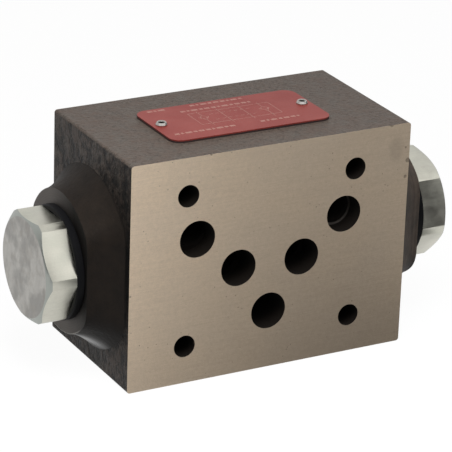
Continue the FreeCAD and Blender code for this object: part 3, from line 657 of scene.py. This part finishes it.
def black_rubber():
    """Moulded rubber with a faint bloom."""
    s = new_shader("black rubber")
    bloom = s.noise(0.8, 3.0)
    colour = s.shade(s.mix(bloom, RUBBER_BLACK, RUBBER_BLOOM), 0.8 + 0.4 * bloom)
    normal = s.bump(bloom, 0.2, 0.02)
    return s.finish({"Base Color": colour, "Roughness": 0.5 + 0.2 * bloom, "Normal": normal})


def ground_steel():
    """Hardened steel pieces inside, ground round X."""
    s = new_shader("ground steel")
    rings = s.noise(1.0, 2.0, 0.5, s.stretched(5.0, 0.2, 0.2))
    colour = s.shade(s.mix(rings, STEEL_GREY, STEEL_BLUE), 0.8 + 0.4 * rings)
    roughness = 0.25 + 0.15 * rings
    normal = s.bump(rings, 0.3, 0.01)
    return s.finish({"Base Color": colour, "Roughness": roughness, "Metallic": 1.0, "Normal": normal})


def spring_wire():
    """Drawn wire with faint marks."""
    s = new_shader("spring wire")
    marks = s.noise(1.4, 3.0)
    colour = s.shade(s.mix(marks, WIRE_GREY, STEEL_BLUE), 0.75 + 0.4 * marks)
    return s.finish({"Base Color": colour, "Roughness": 0.3 + 0.2 * marks, "Metallic": 1.0})


def red_plate():
    """Red anodised sheet: satin face with faint rolling lines, painted shade on its edge low down."""
    s = new_shader("red plate")
    rolling = s.noise(1.0, 2.0, 0.5, s.stretched(0.08, 3.0, 1.0))
    cloud = s.noise(0.09, 3.0)
    colour = s.mix(cloud.spread(0.35, 0.65), PLATE_RED, PLATE_FADED)
    colour = s.shade(colour, 0.86 + 0.16 * rolling + 0.1 * cloud)
    # Painted shade on the edge of the sheet below its top face
    colour = s.mix(s.axis("Z").below(PLATE_TOP - 0.35, 0.2), colour, PLATE_EDGE_SHADE)
    roughness = 0.42 + 0.12 * rolling
    normal = s.bump(rolling, 0.2, 0.01)
    return s.finish({"Base Color": colour, "Roughness": roughness, "Metallic": 0.25, "Normal": normal})


def pale_print():
    """The pale lines on the plate, slightly worn."""
    s = new_shader("pale print")
    wear = s.noise(1.6, 3.0, 0.7)
    colour = s.mix(wear.spread(0.42, 0.62), PRINT_PALE, PRINT_WORN)
    return s.finish({"Base Color": colour, "Roughness": 0.5 + 0.1 * wear, "Metallic": 0.2})


def bright_rivet():
    """Bright rolled steel with painted shade in its hollow."""
    s = new_shader("bright rivet")
    x, y = s.axes("XY")
    from_middle = distance((x - RIVET_MIDDLE).size() - RIVET_REACH, y - RIVET_ROW)
    marks = s.noise(2.5, 3.0)
    colour = s.shade(s.mix(marks, RIVET_BRIGHT, RIVET_DULL), 0.85 + 0.3 * marks)
    # Painted shade in the eye of the rivet
    colour = s.mix(from_middle.below(RIVET_EYE, 0.06), colour, HOLLOW_SHADE)
    return s.finish({"Base Color": colour, "Roughness": 0.22 + 0.2 * marks, "Metallic": 1.0})


def add_piece(name, mesh):
    """A new object of that mesh at the origin, linked to the scene."""
    piece = bpy.data.objects.new(name, mesh)
    bpy.context.scene.collection.objects.link(piece)
    return piece


def merged_form(name):
    """The node's own form with its doubles merged, open to edits."""
    form = bmesh.new()
    form.from_mesh(frame["nodes"][name].data)
    bmesh.ops.remove_doubles(form, verts=form.verts, dist=DOUBLES_WITHIN * MM)
    return form


def dressed(name, form, finish):
    """The piece that takes the node's place, from a form that is then closed."""
    mesh = bpy.data.meshes.new(f"dressed_{name}")
    form.to_mesh(mesh)
    form.free()
    mesh.shade_smooth()
    mesh.materials.append(finish)
    piece = add_piece(f"dressed_{name}", mesh)
    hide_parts(name)
    return piece


def plug(side, finish):
    """The side's plug in its node's own form, with flat parts joined and sharp edges rounded."""
    name = f"{side}_plug"
    form = merged_form(name)
    bmesh.ops.dissolve_limit(form, angle_limit=FLAT_WITHIN, verts=form.verts, edges=form.edges)
    piece = dressed(name, form, finish)
    rounds = piece.modifiers.new("Rounds", "BEVEL")
    rounds.width = PLUG_EDGE_ROUND * MM
    rounds.segments = 2
    rounds.limit_method = "ANGLE"
    rounds.angle_limit = SHARP_ABOVE
    rounds.harden_normals = True
    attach(piece, "housing")


def spring(side, finish):
    """The side's spring in its node's own form."""
    name = f"{side}_spring"
    low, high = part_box(name)
    left_over = 1 - travel(f"{side}_poppet_lift") / (high.x - low.x)
    piece = dressed(name, merged_form(name), finish)
    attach(piece, "housing")
    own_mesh(piece)


def strokes(name, ends, width, finish):
    """Flat printed strokes on the plate.

    ends holds x and y of each stroke's start and end. A stroke is a slab: its corners are the two ends
    moved by half the width to each side, once at the base and once at the thickness above it.
    """
    ends = np.array(ends, float).reshape(-1, 2, 2)
    along = ends[:, 1] - ends[:, 0]
    along /= np.linalg.norm(along, axis=1, keepdims=True)
    aside = np.stack([-along[:, 1], along[:, 0]], axis=1) * width / 2
    start, end = ends[:, 0], ends[:, 1]
    ring = np.stack([start - aside, end - aside, end + aside, start + aside], axis=1)
    low = np.concatenate([ring, np.full(ring.shape[:2] + (1,), PLATE_TOP - PRINT_SUNK)], axis=2)
    high = low + (0, 0, PRINT_THICKNESS)
    points = np.concatenate([low, high], axis=1).reshape(-1, 3) * MM
    quads = np.array([(4, 5, 6, 7), (0, 1, 5, 4), (1, 2, 6, 5), (2, 3, 7, 6), (3, 0, 4, 7), (3, 2, 1, 0)])
    faces = (quads[None] + 8 * np.arange(len(ends))[:, None, None]).reshape(-1, 4)
    mesh = bpy.data.meshes.new(name)
    mesh.from_pydata(points.tolist(), [], faces.tolist())
    mesh.materials.append(finish)
    piece = add_piece(name, mesh)
    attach(piece, "housing")


def circle_strokes(centre, radius, count=24):
    """A circle as short strokes: its points lie at equal angles about the centre."""
    angle = np.linspace(0, 2 * math.pi, count + 1)
    points = np.stack([centre[0] + radius * np.cos(angle), centre[1] + radius * np.sin(angle)], axis=1)
    return np.stack([points[:-1], points[1:]], axis=1)


def bar_rows():
    """Plain bars in rows, each row from its start along X, with bar lengths that repeat unevenly."""
    ends = []
    for start, y, reach in BAR_ROWS:
        x, number = start, 0
        while x + BAR_LENGTHS[number % len(BAR_LENGTHS)] <= start + reach:
            length = BAR_LENGTHS[number % len(BAR_LENGTHS)]
            ends.append(((x, y), (x + length, y)))
            x += length + BAR_GAP
            number += 1
    return ends


def check_valve(x):
    """One check valve of the symbol, at x: a broken line, a V for the seat and a circle for the ball."""
    below = ((x, SYMBOL_LOW - LINE_PAST_LOW), (x, BREAK_LOW))
    above = ((x, BREAK_HIGH), (x, SYMBOL_HIGH + LINE_PAST_HIGH))
    seat = [((x, SEAT_POINT), (x + side * SEAT_HALF_WIDTH, SEAT_HIGH)) for side in (-1, 1)]
    return [below, above] + seat + circle_strokes((x, BALL_MIDDLE), BALL_RADIUS).tolist()


def symbol():
    """The generic symbol of a double check valve: frame, through lines, check valves, dashed pilot lines."""
    frame_points = [
        (SYMBOL_LEFT, SYMBOL_LOW),
        (SYMBOL_RIGHT, SYMBOL_LOW),
        (SYMBOL_RIGHT, SYMBOL_HIGH),
        (SYMBOL_LEFT, SYMBOL_HIGH),
    ]
    lines = list(zip(frame_points, frame_points[1:] + frame_points[:1]))
    for x in THROUGH_LINES:
        lines.append(((x, SYMBOL_LOW - LINE_PAST_LOW), (x, SYMBOL_HIGH + LINE_PAST_HIGH)))
    for x in CHECK_VALVES:
        lines += check_valve(x)
    for step in range(PILOT_COUNT):
        start = PILOT_START + PILOT_PITCH * step
        lines += [((start, y), (start + PILOT_DASH, y)) for y in PILOT_LINES]
    return lines


def lamp(name, place, aim, width, height, watts):
    """A soft rectangular lamp at a place, pointing at an aim, that no mirror shows."""
    card = bpy.data.lights.new(name, "AREA")
    card.shape = "RECTANGLE"
    card.size = width * MM
    card.size_y = height * MM
    card.energy = watts
    holder = bpy.data.objects.new(name, card)
    bpy.context.scene.collection.objects.link(holder)
    direction = (Vector(aim) - Vector(place)) * MM
    turn = direction.to_track_quat("-Z", "Y").to_matrix().to_4x4()
    holder.matrix_world = Matrix.Translation(Vector(place) * MM) @ turn
    holder.visible_glossy = False


def white_floor():
    """A square that takes the object's shadow: white to the camera and darker to mirrors.

    Its corners lie at plus and minus the reach along X and Y. Mirrors see a painted shadow of the object in
    front and a painted bright patch at the far right.
    """
    ways = np.array([(-1, -1, 0), (1, -1, 0), (1, 1, 0), (-1, 1, 0)])
    points = (ways * FLOOR_REACH + (0, 0, FLOOR_UNDER)) * MM
    mesh = bpy.data.meshes.new("floor")
    mesh.from_pydata(points.tolist(), [], [(0, 1, 2, 3)])
    floor = add_piece("floor", mesh)
    s = new_shader("floor")
    x, y = s.axes("XY")
    painted_bright_patch = x.above(FAR_RIGHT_X, 30) * y.above(FAR_RIGHT_Y, 40)
    # Painted shadow of the object in front and a painted bright patch at the far right, seen only by mirrors
    painted_shadow = x.above(DARK_FROM_X, 130) * y.below(DARK_TO_Y, 60) * (1 - painted_bright_patch)
    mirrored = (FLOOR_MIRRORED + (1 - FLOOR_MIRRORED) * painted_bright_patch) * (1 - painted_shadow * FLOOR_SHADE)
    by_camera = s.ray("Camera")
    glowing = by_camera.largest(s.ray("Transmission")) * FLOOR_GLOW
    shown = glowing.largest(s.ray("Glossy") * mirrored)
    matt = s.node("ShaderNodeBsdfDiffuse", {}, {"Color": s.mix(by_camera, FLOOR_MATT, FLOOR_WHITE)})
    glow = s.node("ShaderNodeEmission", {}, {"Color": (1, 1, 1, 1), "Strength": 1.0})
    surface = s.node("ShaderNodeMixShader", {}, {0: shown, 1: matt, 2: glow})
    floor.data.materials.append(s.output(surface))


def studio_world():
    """Even dim light all round, and white to the camera.

    Mirrors show it pale behind and above, bright high in front and dark low in front.
    """
    world = bpy.data.worlds.new("studio")
    bpy.context.scene.world = world
    s = Shader(world)
    direction = s.node("ShaderNodeTexCoord", {}, {}, "Generated")
    y = s.node("ShaderNodeSeparateXYZ", {}, {0: direction}, "Y")
    z = s.node("ShaderNodeSeparateXYZ", {}, {0: direction}, "Z")
    pale = y.above(BEHIND_Y, 0.45).largest(z.above(ABOVE_Z, 0.25)) * ROOM_PALE
    band = zone(z.above(BAND_LOW_Z, 0.2), z.below(BAND_HIGH_Z, 0.2), y.below(BAND_BACK_Y, 0.6))
    mirrored = pale.largest(band * ROOM_BRIGHT) + ROOM_DARK
    by_gloss = s.ray("Glossy")
    fill = by_gloss * mirrored + (1 - by_gloss) * ROOM_FILL
    level = fill.largest(s.ray("Camera").largest(s.ray("Transmission")))
    light = s.node("ShaderNodeBackground", {}, {"Color": (1, 1, 1, 1), "Strength": level})
    s.output(light, "ShaderNodeOutputWorld")


def camera():
    """The photograph's camera, from its place, the way that it looks and its right-hand side."""
    forward = Vector(CAMERA_FORWARD).normalized()
    right = Vector(CAMERA_RIGHT)
    right = (right - right.dot(forward) * forward).normalized()
    up = right.cross(forward)
    lens = bpy.data.cameras.new("camera")
    lens.sensor_width = CAMERA_SENSOR
    lens.lens = CAMERA_LENS
    lens.clip_start = 0.05
    lens.clip_end = 20.0
    holder = bpy.data.objects.new("camera", lens)
    bpy.context.scene.collection.objects.link(holder)
    turn = Matrix((right, up, -forward)).transposed().to_4x4()
    holder.matrix_world = Matrix.Translation(Vector(CAMERA_PLACE) * MM) @ turn
    bpy.context.scene.camera = holder


# Finishes of the solids: right-hand pieces take those of the left, and what isn't named is rubber
steel = ground_steel()
rubber = black_rubber()
finishes = {
    "valve_body": iron_body(),
    "left_plug": zinc_plug(),
    "left_plug_seal": black_ring(),
    "name_plate": red_plate(),
    "plate_rivets": bright_rivet(),
    "pilot_piston": steel,
    "left_seat": steel,
    "left_poppet": steel,
    "left_spring": spring_wire(),
}
for name, node in frame["nodes"].items():
    finish = finishes.get(name.replace("right_", "left_"), rubber)
    node.data.materials.clear()
    node.data.materials.append(finish)

# Dressed pieces and print
for side in ("left", "right"):
    plug(side, finishes["left_plug"])
for side in ("left", "right"):
    spring(side, finishes["left_spring"])
print_finish = pale_print()
strokes("plate_symbol", symbol(), LINE_WIDTH, print_finish)
strokes("plate_bars", bar_rows(), BAR_WIDTH, print_finish)

# Stage
white_floor()
studio_world()
camera()
for settings in LAMPS:
    lamp(*settings)
bpy.context.scene.view_settings.view_transform = "Standard"
